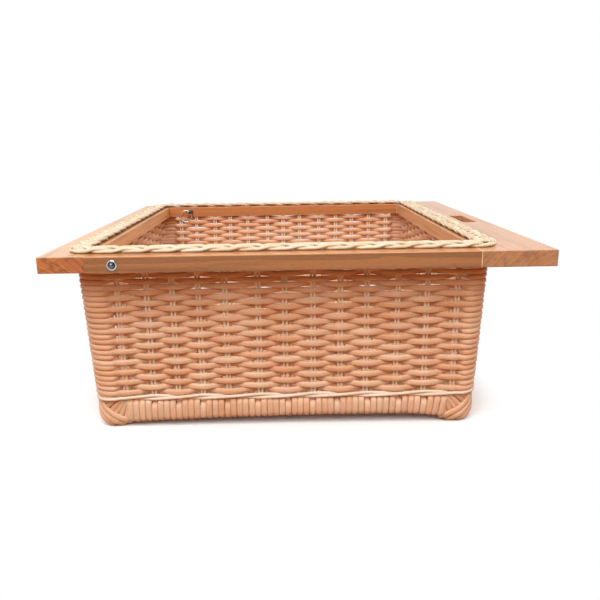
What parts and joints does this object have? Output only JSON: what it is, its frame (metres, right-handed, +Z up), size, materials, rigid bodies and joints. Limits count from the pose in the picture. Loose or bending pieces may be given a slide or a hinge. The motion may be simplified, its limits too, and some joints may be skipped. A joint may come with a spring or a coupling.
{
  "type": "kitchen storage basket",
  "caption": "Pull-out kitchen basket: woven cane body hung from a beech frame with a finger slot, a plaited rim and spring stop pins with pull rings.",
  "frame": {"origin": "floor under the middle of the frame, where the corner feet stand", "axes": "+X towards the front board with the finger slot, +Y across to the right-hand rail, +Z up"},
  "size_m": [0.5, 0.53, 0.1973],
  "materials": {
    "beech": "planed beech under a clear satin varnish",
    "dowel_wood": "bare turned wood",
    "cane": "round peach-brown cane with fine fibres, lightly varnished",
    "pale_cane": "thin cream cane rods, satin",
    "chrome": "bright chrome plate",
    "spring_steel": "drawn spring wire"
  },
  "bodies": {
    "basket": {"front_board": "beech", "rear_board": "beech", "left_rail": "beech", "right_rail": "beech", "dowel_rear_left_outer": "dowel_wood", "dowel_rear_left_inner": "dowel_wood", "dowel_rear_right_outer": "dowel_wood", "dowel_rear_right_inner": "dowel_wood", "dowel_front_left_outer": "dowel_wood", "dowel_front_left_inner": "dowel_wood", "dowel_front_right_outer": "dowel_wood", "dowel_front_right_inner": "dowel_wood", "left_outer_bush": "chrome", "left_inner_bush": "chrome", "left_spring": "spring_steel", "right_outer_bush": "chrome", "right_inner_bush": "chrome", "right_spring": "spring_steel", "woven_wall_left": "cane", "woven_wall_front": "cane", "woven_wall_right": "cane", "woven_wall_rear": "cane", "woven_corner_rear_left": "cane", "woven_corner_front_left": "cane", "woven_corner_front_right": "cane", "woven_corner_rear_right": "cane", "plaited_border_left": "pale_cane", "plaited_border_front": "pale_cane", "plaited_border_right": "pale_cane", "plaited_border_rear": "pale_cane", "base_band_left": "cane", "base_band_front": "cane", "base_band_right": "cane", "base_band_rear": "cane", "edge_rod_left": "dowel_wood", "edge_rod_front": "dowel_wood", "edge_rod_right": "dowel_wood", "edge_rod_rear": "dowel_wood", "corner_foot_rear_left": "cane", "corner_foot_front_left": "cane", "corner_foot_front_right": "cane", "corner_foot_rear_right": "cane", "foot_twist": "pale_cane", "base_panel": "cane", "base_rib_1": "dowel_wood", "base_rib_2": "dowel_wood", "base_rib_3": "dowel_wood", "base_rib_4": "dowel_wood"},
    "left_spring_seat": {"left_spring_seat": "spring_steel"},
    "left_stop_pin": {"left_stop_pin": "chrome"},
    "left_pull_ring": {"left_pull_ring": "chrome"},
    "right_spring_seat": {"right_spring_seat": "spring_steel"},
    "right_stop_pin": {"right_stop_pin": "chrome"},
    "right_pull_ring": {"right_pull_ring": "chrome"}
  },
  "joints": [
    {"name": "left_pin_pull", "type": "slide", "parent": "basket", "child": "left_spring_seat", "axis": [0, 1, 0], "range_m": [0, 0.006], "stiffness_N_per_m": 350, "springref_m": -0.005, "deforming": ["left_spring"]},
    {"name": "left_pin_turn", "type": "hinge", "parent": "left_spring_seat", "child": "left_stop_pin", "pos_m": [-0.177, -0.26, 0.183], "axis": [0, 1, 0], "continuous": true},
    {"name": "left_ring_swing", "type": "hinge", "parent": "left_stop_pin", "child": "left_pull_ring", "pos_m": [-0.177, -0.211, 0.183], "axis": [0.6157, 0, -0.788], "range_deg": [-15, 100]},
    {"name": "right_pin_pull", "type": "slide", "parent": "basket", "child": "right_spring_seat", "axis": [0, -1, 0], "range_m": [0, 0.006], "stiffness_N_per_m": 350, "springref_m": -0.005, "deforming": ["right_spring"]},
    {"name": "right_pin_turn", "type": "hinge", "parent": "right_spring_seat", "child": "right_stop_pin", "pos_m": [-0.168, 0.26, 0.183], "axis": [0, -1, 0], "continuous": true},
    {"name": "right_ring_swing", "type": "hinge", "parent": "right_stop_pin", "child": "right_pull_ring", "pos_m": [-0.168, 0.211, 0.183], "axis": [-0.6157, 0, 0.788], "range_deg": [-15, 100]}
  ]
}
